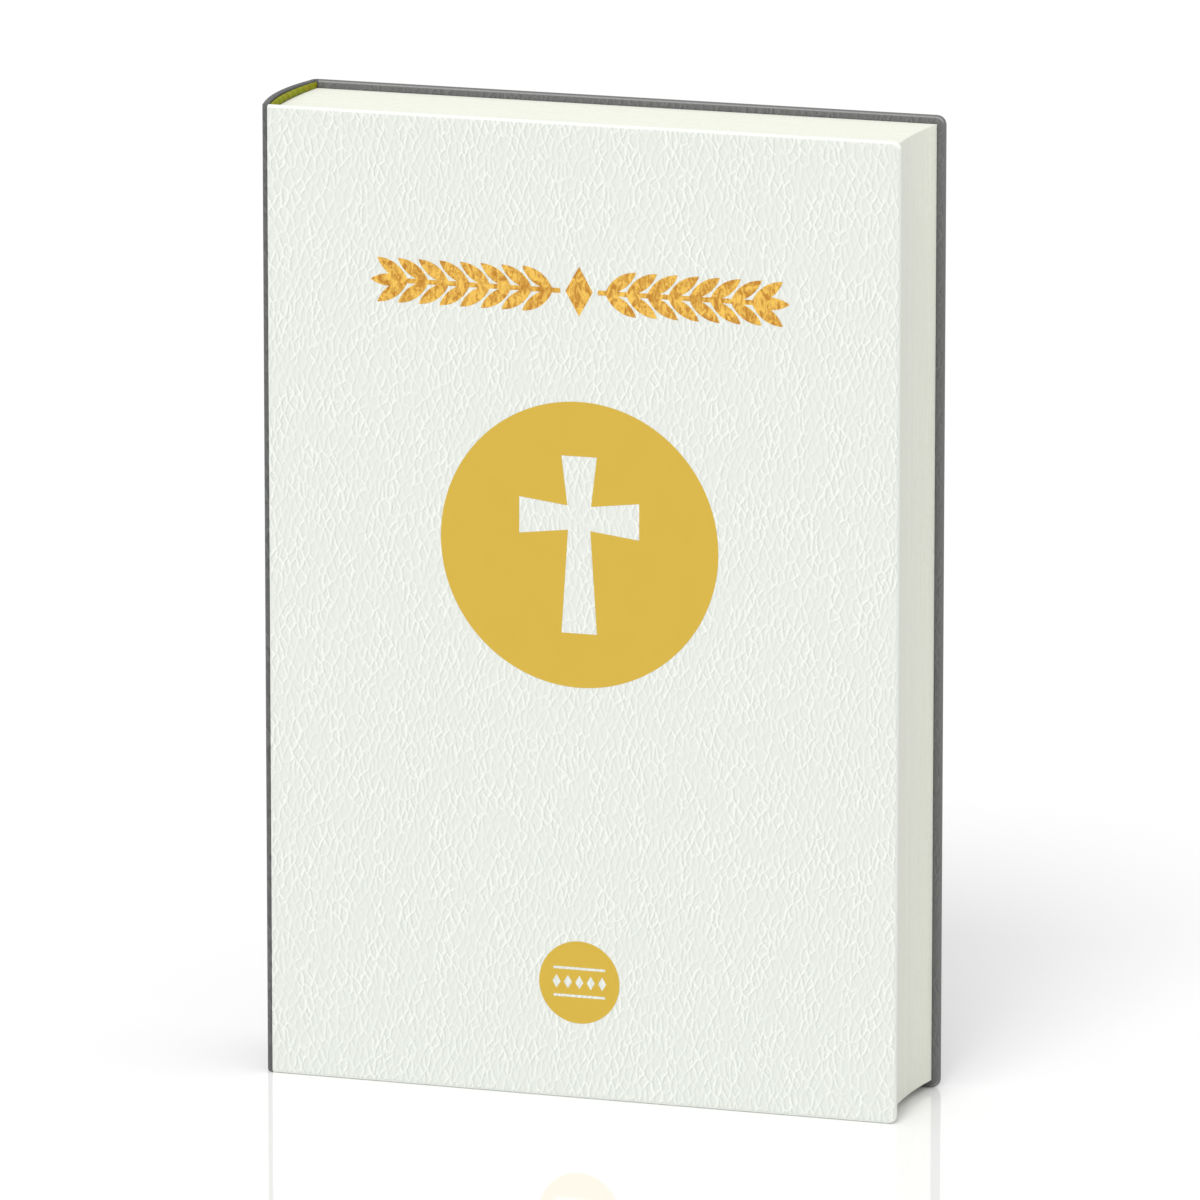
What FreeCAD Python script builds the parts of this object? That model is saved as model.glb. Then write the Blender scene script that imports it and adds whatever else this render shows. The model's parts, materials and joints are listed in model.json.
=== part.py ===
import FreeCAD, Part
import os
from math import cos, pi, sin

# A hand-sized devotional book, closed and standing on its tail edge.
# The pieces are drawn in a bench frame whose x = 0 is the spine-side edge of the covers, y = 0 the outer
# face of the front cover and z = 0 the tail edge. The last step moves them so that the origin is at the
# bottom centre of the whole book: +Z up, the front cover faces -Y, the spine is at -X.

# ---------------------------------------------------------------- driving dimensions, mm
book_height = 182.0
cover_width = 120.8          # one cover, spine edge to fore-edge
book_thickness = 29.0
spine_bulge = 3.0            # how far the rounded spine stands out past the covers' spine edges

square = 1.55                # how far the covers stand out past the pages at head, tail and fore-edge
corner_radius = 1.7          # fore-edge corners of the covers
spine_corner_radius = 0.6    # spine-side corners of the covers
edge_radius = 0.5            # rounding of the outer edges of the covers

skin_thickness = 0.35        # covering material on the outside of the boards
board_thickness = 0.70
turn_in_thickness = 0.33     # covering folded over onto the inside of the board
cloth_thickness = 0.08       # mull
pastedown_thickness = 0.12
turn_in_width = 12.0
pastedown_margin = 3.0       # strip of turn-in left in sight round the pastedown
flange_width = 20.0          # mull glued to each board
flange_end_margin = 8.0      # mull stops short of head and tail
joint_strip_width = 7.0
joint_strip_thickness = 0.25

section_count = 20
section_gap = 0.08
flyleaf_thickness = 0.12
flyleaf_clearance = 0.10
flyleaf_spine_x = 0.3        # the free half of the endpaper starts just past the cover hinge line
block_round = 0.85           # rounding of the text block's spine
block_spine_x = -0.9         # text block's spine at mid thickness
fore_edge_hollow = 1.0       # depth of the concave fore-edge at mid thickness

hinge_gap = 0.3              # between the spine piece and either cover
inlay_thickness = 0.35       # card inside the spine piece
spine_turn_in_thickness = 0.10
lining_thickness = 0.12
tube_wall = 0.10
thread_thickness = 0.10      # pressed flat under the mull
thread_width = 0.5
sewing_stations = 7
thread_behind = 0.08         # the threads lie this far behind the section folds
thread_margin_y = 1.0        # how far the threads stop short of the block's front and back
thread_to_mull = 0.02
kettle_margin_z = 8.0        # first and last station, from the ends of the pages
layer_margin_y = 2.6         # how far the spine layers stop short of the block's front and back
lining_margin_z = 3.0
tube_margin_y = 3.4
tube_margin_z = 13.0
inlay_margin_y = 2.8
band_radius = 0.45           # headband bead at mid thickness; it thins where the room behind the pages does
band_clearance = 0.05
band_margin_y = 0.6          # how far the bead stops short of the block's front and back
band_rings = 9
band_skirt_height = 9.0      # cloth tape that the bead is woven on
shoulder_x = -1.45           # where the flat-arched middle of the spine passes into its rounded shoulders
shoulder_y = 2.2
knee_x = -1.05               # the shoulder's arc passes through this point on its way to the lip
knee_y = 0.85
knee_share = 0.7             # how much of an inset the knee takes in each direction
foil_thickness = 0.10
foil_depth = 0.05            # the stamped foil lies this far below the covering's surface

# artwork stamped on the front cover: x from the spine edge, z from the tail
artwork_x = 60.0
emblem_z = 104.0
emblem_radius = 26.6
cross_rise = 5.0             # crossing of the arms above the emblem's middle
cross_arm_length = 11.5
cross_foot_length = 21.5
cross_root_half = 2.0
cross_tip_half = 3.4
imprint_z = 21.95
imprint_radius = 7.75
imprint_lozenge_count = 5
imprint_lozenge_pitch = 2.2
imprint_lozenge_half_width = 0.8
imprint_lozenge_half_height = 1.3
imprint_rule_half_length = 5.0
imprint_rule_half_width = 0.25
imprint_rule_offset = 2.6    # from the imprint's middle
garland_z = 151.0
garland_half_length = 40.0
garland_leaf_length = 7.2
garland_leaf_width = 2.3
garland_leaf_pairs = 8
garland_leaf_angle = 35.0    # degrees from the stem
garland_stem = 0.9
garland_stem_overrun = 1.0   # the stem runs in under its end leaf by this much
garland_gap = 5.0            # from the middle lozenge's centre to the first leaves
garland_stem_start = 3.6
garland_lozenge_half_width = 2.6
garland_lozenge_half_height = 4.6
cut_margin = 1.0             # how far a cutting tool stands out past what it cuts

# ---------------------------------------------------------------- sizes that follow from them
cover_thickness = (skin_thickness + board_thickness + turn_in_thickness
                   + pastedown_thickness)
board_front = skin_thickness
turn_in_front = board_front + board_thickness
pastedown_front = turn_in_front + turn_in_thickness
cloth_front = pastedown_front - cloth_thickness
mid_y = book_thickness / 2
head_z = book_height - square
fore_edge_x = cover_width - square
flyleaf_front = cover_thickness + flyleaf_clearance
block_front = flyleaf_front + flyleaf_thickness + section_gap
block_half = mid_y - block_front
section_pitch = (2 * block_half + section_gap) / section_count
section_thickness = section_pitch - section_gap
spine_shell = skin_thickness + inlay_thickness + spine_turn_in_thickness
inlay_back = skin_thickness + inlay_thickness
mull_behind = thread_behind + thread_thickness + thread_to_mull
lining_behind = mull_behind + cloth_thickness
tube_behind = lining_behind + lining_thickness
artwork_back = foil_depth + foil_thickness


def box(x0, x1, y0, y1, z0, z1):
    """A block between two opposite corners."""
    return Part.makeBox(x1 - x0, y1 - y0, z1 - z0, FreeCAD.Vector(x0, y0, z0))


def to_back(shape):
    """The same piece on the back cover, mirrored through the middle of the book's thickness."""
    return shape.mirror(FreeCAD.Vector(0, mid_y, 0), FreeCAD.Vector(0, 1, 0))


def upright_prism(edges, z0, z1):
    """A prism along Z over an outline given as edges at height z0."""
    return Part.Face(Part.Wire(edges)).extrude(FreeCAD.Vector(0, 0, z1 - z0))


# ---------------------------------------------------------------- covers
def rounded_panel(inset, y0, y1):
    """A flat panel of the cover's outline, drawn in by inset on all sides."""
    panel = box(inset, cover_width - inset, y0, y1, inset, book_height - inset)
    middle_x = cover_width / 2
    for radius, at_fore_edge in ((corner_radius, True), (spine_corner_radius, False)):
        corners = []
        for edge in panel.Edges:
            bounds = edge.BoundBox
            across = max(bounds.XLength, bounds.ZLength)
            runs_along_y = abs(bounds.YLength - (y1 - y0)) < 1e-6 and across < 1e-6
            if runs_along_y and (bounds.XMin > middle_x) == at_fore_edge:
                corners.append(edge)
        panel = panel.makeFillet(max(radius - inset, 0.2), corners)
    return panel


def window(y0, y1):
    """The area of the board's inner face that the turn-ins leave open."""
    return box(turn_in_width, cover_width - turn_in_width, y0, y1,
               turn_in_width, book_height - turn_in_width)


def mull_flange():
    return box(skin_thickness, flange_width, cloth_front, pastedown_front,
               flange_end_margin, book_height - flange_end_margin)


def joint_strip():
    """Strip of spine material that runs in under the covering along the joint."""
    strip = box(skin_thickness, joint_strip_width, board_front, board_front + joint_strip_thickness,
                0, book_height)
    return strip.common(rounded_panel(skin_thickness, board_front, turn_in_front))


def board():
    """Card stiffener: full area under the turn-ins, and filled up to the pastedown inside them."""
    core = rounded_panel(skin_thickness, board_front, turn_in_front)
    core = core.fuse(window(turn_in_front, pastedown_front)).removeSplitter()
    return core.cut(mull_flange()).cut(joint_strip())


def covering():
    """Covering material wrapped round the board, with a turn-in along every edge."""
    wrap = rounded_panel(0, 0, pastedown_front)
    rim = [edge for edge in wrap.Edges if edge.BoundBox.YMax < 1e-6]
    wrap = wrap.makeFillet(edge_radius, rim)
    wrap = wrap.cut(rounded_panel(skin_thickness, board_front, turn_in_front))
    wrap = wrap.cut(window(turn_in_front, pastedown_front))
    return wrap.cut(mull_flange())


def pastedown():
    """Half of the endpaper, glued to the inside of a cover."""
    return box(skin_thickness, cover_width - pastedown_margin, pastedown_front, cover_thickness,
               pastedown_margin, book_height - pastedown_margin)


# ---------------------------------------------------------------- stamped artwork
def stamp_disc(radius, z, y0, y1):
    return Part.makeCylinder(radius, y1 - y0, FreeCAD.Vector(artwork_x, y0, z), FreeCAD.Vector(0, 1, 0))


def flat_outline(points, y0, y1):
    """A prism along Y over a closed outline of (x, z) points."""
    loop = [FreeCAD.Vector(x, y0, z) for x, z in points]
    return Part.Face(Part.makePolygon(loop + loop[:1])).extrude(FreeCAD.Vector(0, y1 - y0, 0))


def cross_arm(angle, length, y0, y1):
    """One arm of a plain cross that widens towards its end."""
    outline = [(0, -cross_root_half), (length, -cross_tip_half),
               (length, cross_tip_half), (0, cross_root_half)]
    turned = []
    for along, across in outline:
        x = artwork_x + along * cos(angle) - across * sin(angle)
        z = emblem_z + cross_rise + along * sin(angle) + across * cos(angle)
        turned.append((x, z))
    return flat_outline(turned, y0, y1)


def plain_cross(y0, y1):
    arms = []
    for quarter in range(4):
        length = cross_foot_length if quarter == 3 else cross_arm_length
        arms.append(cross_arm(pi * quarter / 2, length, y0, y1))
    return arms[0].multiFuse(arms[1:]).removeSplitter()


def emblem(y0, y1):
    """Round gold field with a plain cross left open in it."""
    return stamp_disc(emblem_radius, emblem_z, y0, y1).cut(plain_cross(y0 - cut_margin, y1 + cut_margin))


def lozenge(x, z, half_width, half_height, y0, y1):
    corners = [(x - half_width, z), (x, z - half_height), (x + half_width, z), (x, z + half_height)]
    return flat_outline(corners, y0, y1)


def imprint(y0, y1):
    """Small gold disc with a row of lozenges between two thin rules left open in it."""
    disc = stamp_disc(imprint_radius, imprint_z, y0, y1)
    front = y0 - cut_margin
    back = y1 + cut_margin
    for place in range(imprint_lozenge_count):
        x = artwork_x + (place - (imprint_lozenge_count - 1) / 2) * imprint_lozenge_pitch
        disc = disc.cut(lozenge(x, imprint_z, imprint_lozenge_half_width,
                                imprint_lozenge_half_height, front, back))
    for side in (-1, 1):
        rule_z = imprint_z + side * imprint_rule_offset
        disc = disc.cut(box(artwork_x - imprint_rule_half_length, artwork_x + imprint_rule_half_length,
                            front, back, rule_z - imprint_rule_half_width,
                            rule_z + imprint_rule_half_width))
    return disc


def leaf(x, z, angle, y0, y1):
    """One almond-shaped leaf whose root is at (x, z)."""
    def place(along, across):
        return FreeCAD.Vector(x + along * cos(angle) - across * sin(angle), y0,
                              z + along * sin(angle) + across * cos(angle))
    root = place(0, 0)
    tip = place(garland_leaf_length, 0)
    half = garland_leaf_width / 2
    upper = Part.Arc(root, place(garland_leaf_length / 2, half), tip).toShape()
    lower = Part.Arc(tip, place(garland_leaf_length / 2, -half), root).toShape()
    return Part.Face(Part.Wire([upper, lower])).extrude(FreeCAD.Vector(0, y1 - y0, 0))


def garland(y0, y1):
    """Two leafy sprigs that grow outwards from a lozenge, where a title would stand."""
    pieces = [lozenge(artwork_x, garland_z, garland_lozenge_half_width,
                      garland_lozenge_half_height, y0, y1)]
    lean = garland_leaf_angle * pi / 180
    last_root = garland_half_length - garland_leaf_length
    spacing = (last_root - garland_gap) / (garland_leaf_pairs - 1)
    for side in (-1, 1):
        stem_ends = sorted((artwork_x + side * garland_stem_start,
                            artwork_x + side * (last_root + garland_stem_overrun)))
        pieces.append(box(stem_ends[0], stem_ends[1], y0, y1,
                          garland_z - garland_stem / 2, garland_z + garland_stem / 2))
        outward = 0 if side > 0 else pi
        for pair in range(garland_leaf_pairs):
            x = artwork_x + side * (garland_gap + pair * spacing)
            for lift in (-1, 1):
                pieces.append(leaf(x, garland_z, outward + side * lift * lean, y0, y1))
        pieces.append(leaf(artwork_x + side * last_root, garland_z, outward, y0, y1))
    return pieces[0].multiFuse(pieces[1:]).removeSplitter()


# ---------------------------------------------------------------- text block
def block_spine(y):
    """Where the rounded spine of the text block is at thickness y, on one arc."""
    radius = (block_half ** 2 + block_round ** 2) / (2 * block_round)
    return block_spine_x + radius - (radius ** 2 - (y - mid_y) ** 2) ** 0.5


def block_fore_edge(y):
    """Where the hollowed fore-edge of the text block is at thickness y."""
    return fore_edge_x - fore_edge_hollow * (1 - ((y - mid_y) / block_half) ** 2)


def section(number):
    """A folded and sewn bundle of leaves, counted from the front: folded at the spine, cut elsewhere."""
    front = block_front + (number - 1) * section_pitch
    back = front + section_thickness
    middle = (front + back) / 2
    fold_x = min(block_spine(front), block_spine(back))
    fold_radius = section_thickness / 2
    front_fold = FreeCAD.Vector(fold_x + fold_radius, front, square)
    back_fold = FreeCAD.Vector(fold_x + fold_radius, back, square)
    front_fore = FreeCAD.Vector(block_fore_edge(front), front, square)
    back_fore = FreeCAD.Vector(block_fore_edge(back), back, square)
    edges = [
        Part.Arc(back_fold, FreeCAD.Vector(fold_x, middle, square), front_fold).toShape(),
        Part.makeLine(front_fold, front_fore),
        Part.makeLine(front_fore, back_fore),
        Part.makeLine(back_fore, back_fold),
    ]
    return upright_prism(edges, square, head_z)


def flyleaf():
    """The free half of the front endpaper."""
    return box(flyleaf_spine_x, fore_edge_x, flyleaf_front, flyleaf_front + flyleaf_thickness, square, head_z)


# ---------------------------------------------------------------- spine of the text block
def spine_layer(near, far, margin_y, z0, z1):
    """A layer glued round the spine, between two distances behind the section folds."""
    front = block_front + margin_y
    back = book_thickness - front

    def arc(distance, start, end):
        middle = FreeCAD.Vector(block_spine(mid_y) - distance, mid_y, z0)
        ends = [FreeCAD.Vector(block_spine(y) - distance, y, z0) for y in (start, end)]
        return Part.Arc(ends[0], middle, ends[1]).toShape()

    inner = arc(near, front, back)
    outer = arc(far, back, front)
    edges = [
        inner,
        Part.makeLine(inner.Vertexes[-1].Point, outer.Vertexes[0].Point),
        outer,
        Part.makeLine(outer.Vertexes[-1].Point, inner.Vertexes[0].Point),
    ]
    return upright_prism(edges, z0, z1)


def sewing_threads():
    """The thread's runs behind the folds, one at each sewing station."""
    runs = []
    for station in range(sewing_stations):
        share = station / (sewing_stations - 1)
        z = square + kettle_margin_z + share * (head_z - square - 2 * kettle_margin_z)
        runs.append(spine_layer(thread_behind, thread_behind + thread_thickness, thread_margin_y,
                                z - thread_width / 2, z + thread_width / 2))
    return Part.makeCompound(runs)


def spine_mull():
    return spine_layer(mull_behind, mull_behind + cloth_thickness, layer_margin_y,
                       flange_end_margin, book_height - flange_end_margin)


def spine_lining():
    return spine_layer(lining_behind, lining_behind + lining_thickness, layer_margin_y,
                       square + lining_margin_z, head_z - lining_margin_z)


# ---------------------------------------------------------------- spine piece
def spine_outline_prism(inset, z0, z1):
    """The space inside the spine's outline, drawn in by inset, open towards the pages."""
    def at(x, y, toward):
        """A point of the outline, given for its front half: toward is 1 for that one, -1 for the back one."""
        return FreeCAD.Vector(x, y if toward > 0 else book_thickness - y, z0)

    lip_x = -hinge_gap
    lip_y = hinge_gap + inset
    bend_x = knee_x + knee_share * inset
    bend_y = knee_y + knee_share * inset
    edge_x = shoulder_x + inset
    edges = [
        Part.Arc(at(lip_x, lip_y, 1), at(bend_x, bend_y, 1), at(edge_x, shoulder_y, 1)).toShape(),
        Part.Arc(at(edge_x, shoulder_y, 1), FreeCAD.Vector(inset - spine_bulge, mid_y, z0),
                 at(edge_x, shoulder_y, -1)).toShape(),
        Part.Arc(at(edge_x, shoulder_y, -1), at(bend_x, bend_y, -1), at(lip_x, lip_y, -1)).toShape(),
        Part.makeLine(at(lip_x, lip_y, -1), at(lip_x, lip_y, 1)),
    ]
    return upright_prism(edges, z0, z1)


def spine_inlay():
    """Card that stiffens the spine piece between its shoulders."""
    low = skin_thickness
    high = book_height - skin_thickness
    arched = spine_outline_prism(skin_thickness, low, high)
    arched = arched.cut(spine_outline_prism(inlay_back, low, high))
    return arched.common(box(-spine_bulge, 0, inlay_margin_y, book_thickness - inlay_margin_y, low, high))


def spine_covering():
    """Covering of the spine, turned in over the inlay at head and tail."""
    shell = spine_outline_prism(0, 0, book_height)
    shell = shell.cut(spine_outline_prism(spine_shell, 0, book_height))
    shell = shell.cut(spine_inlay())
    hollow = spine_outline_prism(inlay_back, turn_in_width, book_height - turn_in_width)
    return shell.cut(hollow)


def hollow_tube():
    """Flattened paper tube: one wall on the lining, the other on the spine inlay."""
    low = tube_margin_z
    high = book_height - tube_margin_z
    front = block_front + tube_margin_y
    back = book_thickness - front
    room = spine_outline_prism(inlay_back, low, high)
    inner = spine_layer(tube_behind, tube_behind + tube_wall, tube_margin_y, low, high)
    outer = room.cut(spine_outline_prism(inlay_back + tube_wall, low, high))
    walls = [inner, outer.common(box(-spine_bulge, 0, front, back, low, high))]
    for y in (front, back - tube_wall):
        fold = box(-spine_bulge, 0, y, y + tube_wall, low, high)
        fold = fold.common(room)
        walls.append(fold.cut(spine_layer(-spine_bulge, tube_behind, 0, low, high)))
    return walls[0].multiFuse(walls[1:]).removeSplitter()


def inner_spine(y):
    """Where the inner face of the spine piece's arched middle is at thickness y."""
    half = mid_y - shoulder_y
    sag = shoulder_x + spine_bulge
    radius = (half ** 2 + sag ** 2) / (2 * sag)
    return spine_shell - spine_bulge + radius - (radius ** 2 - (y - mid_y) ** 2) ** 0.5


def head_band():
    """Woven bead on a cloth tape, in the room between the folds and the spine piece."""
    z = head_z + band_radius
    front = block_front + band_margin_y
    step = (book_thickness - 2 * front) / (band_rings - 1)
    rings = []
    for ring in range(band_rings):
        y = front + ring * step
        room = block_spine(y) - inner_spine(y)
        centre = FreeCAD.Vector(inner_spine(y) + room / 2, y, z)
        radius = min(band_radius, room / 2 - band_clearance)
        rings.append(Part.Wire(Part.Circle(centre, FreeCAD.Vector(0, 1, 0), radius).toShape()))
    bead = Part.makeLoft(rings, True)
    skirt = spine_layer(tube_behind, tube_behind + tube_wall, tube_margin_y, z - band_skirt_height, z)
    return bead.fuse(skirt).removeSplitter()


def to_tail(shape):
    """The same piece at the other end of the book, mirrored through mid height."""
    return shape.mirror(FreeCAD.Vector(0, 0, book_height / 2), FreeCAD.Vector(0, 0, 1))


# ---------------------------------------------------------------- assembly
def all_pieces():
    pieces = {}
    front_covering = covering()
    artworks = {"title_garland_foil": garland, "emblem_foil": emblem, "imprint_foil": imprint}
    for name, artwork in artworks.items():
        front_covering = front_covering.cut(artwork(-cut_margin, artwork_back))
        pieces[name] = artwork(foil_depth, artwork_back)
    pieces["front_cover_covering"] = front_covering
    pieces["back_cover_covering"] = to_back(covering())
    for name, make in (("board", board), ("pastedown", pastedown), ("mull_flange", mull_flange),
                       ("joint_strip", joint_strip), ("flyleaf", flyleaf)):
        pieces["front_" + name] = make()
        pieces["back_" + name] = to_back(make())
    for number in range(1, section_count + 1):
        pieces["section_%02d" % number] = section(number)
    pieces["sewing_threads"] = sewing_threads()
    pieces["spine_mull"] = spine_mull()
    pieces["spine_lining"] = spine_lining()
    pieces["hollow_tube"] = hollow_tube()
    pieces["spine_inlay"] = spine_inlay()
    pieces["spine_covering"] = spine_covering()
    pieces["headband"] = head_band()
    pieces["tailband"] = to_tail(head_band())
    return pieces


def main():
    os.makedirs("parts", exist_ok=True)
    to_origin = FreeCAD.Vector((spine_bulge - cover_width) / 2, -mid_y, 0)
    for name, shape in all_pieces().items():
        shape.translate(to_origin)
        shape.exportStep("parts/%s.step" % name)


main()
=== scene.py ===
import json
from math import cos, pi, radians, sin

import bmesh
import bpy
import numpy as np
from mathutils import Matrix, Vector


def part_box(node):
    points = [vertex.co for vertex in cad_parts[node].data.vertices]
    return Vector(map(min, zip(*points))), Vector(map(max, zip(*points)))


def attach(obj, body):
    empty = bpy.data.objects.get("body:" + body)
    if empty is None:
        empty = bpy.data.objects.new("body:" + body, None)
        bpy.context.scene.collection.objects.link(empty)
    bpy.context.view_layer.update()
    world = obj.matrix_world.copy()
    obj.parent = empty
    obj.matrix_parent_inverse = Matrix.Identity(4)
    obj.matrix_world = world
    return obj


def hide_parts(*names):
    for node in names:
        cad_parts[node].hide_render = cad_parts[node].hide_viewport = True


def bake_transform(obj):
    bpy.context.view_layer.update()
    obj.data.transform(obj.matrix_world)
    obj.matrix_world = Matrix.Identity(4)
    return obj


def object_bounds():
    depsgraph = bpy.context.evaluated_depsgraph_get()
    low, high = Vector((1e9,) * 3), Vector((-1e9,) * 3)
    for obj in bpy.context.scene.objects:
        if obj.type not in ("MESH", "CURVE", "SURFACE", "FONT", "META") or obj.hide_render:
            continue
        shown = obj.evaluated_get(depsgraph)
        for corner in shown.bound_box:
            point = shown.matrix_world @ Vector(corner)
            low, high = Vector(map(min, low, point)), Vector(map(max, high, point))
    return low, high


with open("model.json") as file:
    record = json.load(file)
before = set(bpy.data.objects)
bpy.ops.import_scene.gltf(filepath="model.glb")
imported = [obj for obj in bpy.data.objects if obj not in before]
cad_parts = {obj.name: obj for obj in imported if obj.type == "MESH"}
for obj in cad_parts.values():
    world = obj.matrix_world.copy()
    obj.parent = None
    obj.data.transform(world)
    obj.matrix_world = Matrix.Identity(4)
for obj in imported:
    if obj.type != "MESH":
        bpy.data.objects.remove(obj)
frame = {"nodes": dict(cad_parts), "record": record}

# A standing white bible with a grey spine and back, cream pages and stamped gold artwork.
# Lengths are in metres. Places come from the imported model's boxes, and sizes that only the looks need are
# named here, each above the piece that it belongs to.

MM = 0.001
cad_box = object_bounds()
low, high = cad_box
front_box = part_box("front_cover_covering")
back_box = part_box("back_cover_covering")
spine_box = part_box("spine_covering")
middle_y = (low.y + high.y) / 2
middle_z = (low.z + high.z) / 2
sections = sorted(name for name in frame["nodes"] if name.startswith("section_"))
first_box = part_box(sections[0])
last_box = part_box(sections[-1])
body_of_node = {}
for body_name, members in frame["record"]["behaviour"]["bodies"].items():
    for member in members:
        body_of_node[member] = body_name

# ---------------------------------------------------------------- camera and light
CAMERA_AZIMUTH = 18.26
CAMERA_ELEVATION = 12.45
CAMERA_DISTANCE = 2.2977
CAMERA_LENS = 378.65
AIM_X = 5.1 * MM
AIM_Z = 94.07 * MM
WORLD_STRENGTH = 0.84
KEY_AZIMUTH = 1             # degrees; 0 is straight in front of the front cover
KEY_ELEVATION = 47
KEY_SPREAD = 24             # degrees; wide enough for a soft shadow
KEY_POWER = 1.4


def direction_to(azimuth, elevation):
    """Unit vector from the book towards an azimuth and an elevation in degrees."""
    a, e = radians(azimuth), radians(elevation)
    return Vector((sin(a) * cos(e), -cos(a) * cos(e), sin(e)))


def look_along(item, direction):
    item.rotation_mode = "QUATERNION"
    item.rotation_quaternion = direction.to_track_quat("-Z", "Y")
    bpy.context.scene.collection.objects.link(item)


def add_camera():
    back = direction_to(CAMERA_AZIMUTH, CAMERA_ELEVATION)
    data = bpy.data.cameras.new("camera")
    data.lens = CAMERA_LENS
    data.clip_start = 0.05
    data.clip_end = 50
    camera = bpy.data.objects.new("camera", data)
    camera.location = Vector((AIM_X, low.y, AIM_Z)) + back * CAMERA_DISTANCE
    look_along(camera, -back)
    bpy.context.scene.camera = camera


def add_key_light():
    """Wide, even light that leaves a soft shadow."""
    back = direction_to(KEY_AZIMUTH, KEY_ELEVATION)
    data = bpy.data.lights.new("key", "SUN")
    data.angle = radians(KEY_SPREAD)
    data.energy = KEY_POWER
    light = bpy.data.objects.new("key", data)
    light.location = Vector((0, middle_y, middle_z)) + back
    look_along(light, -back)


def add_world():
    world = bpy.data.worlds.new("studio")
    bpy.context.scene.world = world
    world.use_nodes = True
    background = world.node_tree.nodes["Background"]
    background.inputs["Color"].default_value = (1, 1, 1, 1)
    background.inputs["Strength"].default_value = WORLD_STRENGTH


# ---------------------------------------------------------------- mesh tools
PAPER_EDGE = 40             # degrees; paper that turns by more than this shows a crisp edge
JOIN_WITHIN = 1e-6


def mesh_piece(name, points, faces):
    mesh = bpy.data.meshes.new(name)
    mesh.from_pydata([tuple(p) for p in points], [], faces)
    mesh.validate()
    mesh.shade_smooth()
    mesh.update()
    piece = bpy.data.objects.new(name, mesh)
    bpy.context.scene.collection.objects.link(piece)
    return piece


def keep_sharp_edges(piece):
    """Paper bends smoothly, but its cut edges stay crisp."""
    piece.data.set_sharp_from_angle(angle=radians(PAPER_EDGE))


def keep_rest_place(piece):
    """Stores where each point is at rest, so that a pattern stays on a piece that bends."""
    places = np.zeros(len(piece.data.vertices) * 3, np.float32)
    piece.data.vertices.foreach_get("co", places)
    attribute = piece.data.attributes.new("rest_place", "FLOAT_VECTOR", "POINT")
    attribute.data.foreach_set("vector", places)


def join_near_points(piece):
    """Closes seams, drops slivers and turns every face outwards."""
    mesh = bmesh.new()
    mesh.from_mesh(piece.data)
    bmesh.ops.remove_doubles(mesh, verts=mesh.verts, dist=JOIN_WITHIN)
    bmesh.ops.dissolve_degenerate(mesh, dist=JOIN_WITHIN, edges=mesh.edges)
    bmesh.ops.recalc_face_normals(mesh, faces=mesh.faces)
    mesh.to_mesh(piece.data)
    mesh.free()
    piece.data.shade_smooth()


# ---------------------------------------------------------------- material tools
def new_material(name):
    material = bpy.data.materials.new(name)
    material.use_nodes = True
    return material, material.node_tree, material.node_tree.nodes["Principled BSDF"]


def link(tree, source, target):
    tree.links.new(source, target)


def feed(tree, value, socket):
    """Links a socket's value, or sets a number or vector."""
    if hasattr(value, "is_linked"):
        link(tree, value, socket)
    else:
        socket.default_value = value


def math_node(tree, operation, *values):
    node = tree.nodes.new("ShaderNodeMath")
    node.operation = operation
    for place, value in enumerate(values):
        feed(tree, value, node.inputs[place])
    return node.outputs[0]


def vector_math(tree, operation, first, second):
    node = tree.nodes.new("ShaderNodeVectorMath")
    node.operation = operation
    for place, value in enumerate((first, second)):
        feed(tree, value, node.inputs[place])
    return node.outputs[0]


def separate(tree, vector):
    node = tree.nodes.new("ShaderNodeSeparateXYZ")
    link(tree, vector, node.inputs[0])
    return node.outputs


def combine(tree, **values):
    node = tree.nodes.new("ShaderNodeCombineXYZ")
    for axis, value in values.items():
        link(tree, value, node.inputs[axis.upper()])
    return node.outputs[0]


def smooth_step(tree, value, low_end, high_end, to_low=0.0, to_high=1.0):
    node = tree.nodes.new("ShaderNodeMapRange")
    node.interpolation_type = "SMOOTHSTEP"
    link(tree, value, node.inputs["Value"])
    node.inputs["From Min"].default_value = low_end
    node.inputs["From Max"].default_value = high_end
    node.inputs["To Min"].default_value = to_low
    node.inputs["To Max"].default_value = to_high
    return node.outputs["Result"]


def noise_node(tree, vector, scale, detail=2.0, roughness=0.5, distortion=0.0):
    node = tree.nodes.new("ShaderNodeTexNoise")
    link(tree, vector, node.inputs["Vector"])
    node.inputs["Scale"].default_value = scale
    node.inputs["Detail"].default_value = detail
    node.inputs["Roughness"].default_value = roughness
    node.inputs["Distortion"].default_value = distortion
    return node


def voronoi_edge(tree, vector, scale, randomness=1.0):
    node = tree.nodes.new("ShaderNodeTexVoronoi")
    node.feature = "DISTANCE_TO_EDGE"
    node.voronoi_dimensions = "2D"
    link(tree, vector, node.inputs["Vector"])
    node.inputs["Scale"].default_value = scale
    node.inputs["Randomness"].default_value = randomness
    return node.outputs["Distance"]


def mix_colours(tree, share, first, second):
    node = tree.nodes.new("ShaderNodeMix")
    node.data_type = "RGBA"
    link(tree, share, node.inputs[0])
    for place, value in ((6, first), (7, second)):
        feed(tree, (*value, 1) if isinstance(value, tuple) else value, node.inputs[place])
    return node.outputs[2]


def bump(tree, shader, height, distance):
    node = tree.nodes.new("ShaderNodeBump")
    node.inputs["Distance"].default_value = distance
    link(tree, height, node.inputs["Height"])
    link(tree, node.outputs[0], shader.inputs["Normal"])


def object_place(tree):
    return tree.nodes.new("ShaderNodeTexCoord").outputs["Object"]


def mesh_attribute(tree, name):
    node = tree.nodes.new("ShaderNodeAttribute")
    node.attribute_name = name
    return node


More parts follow.
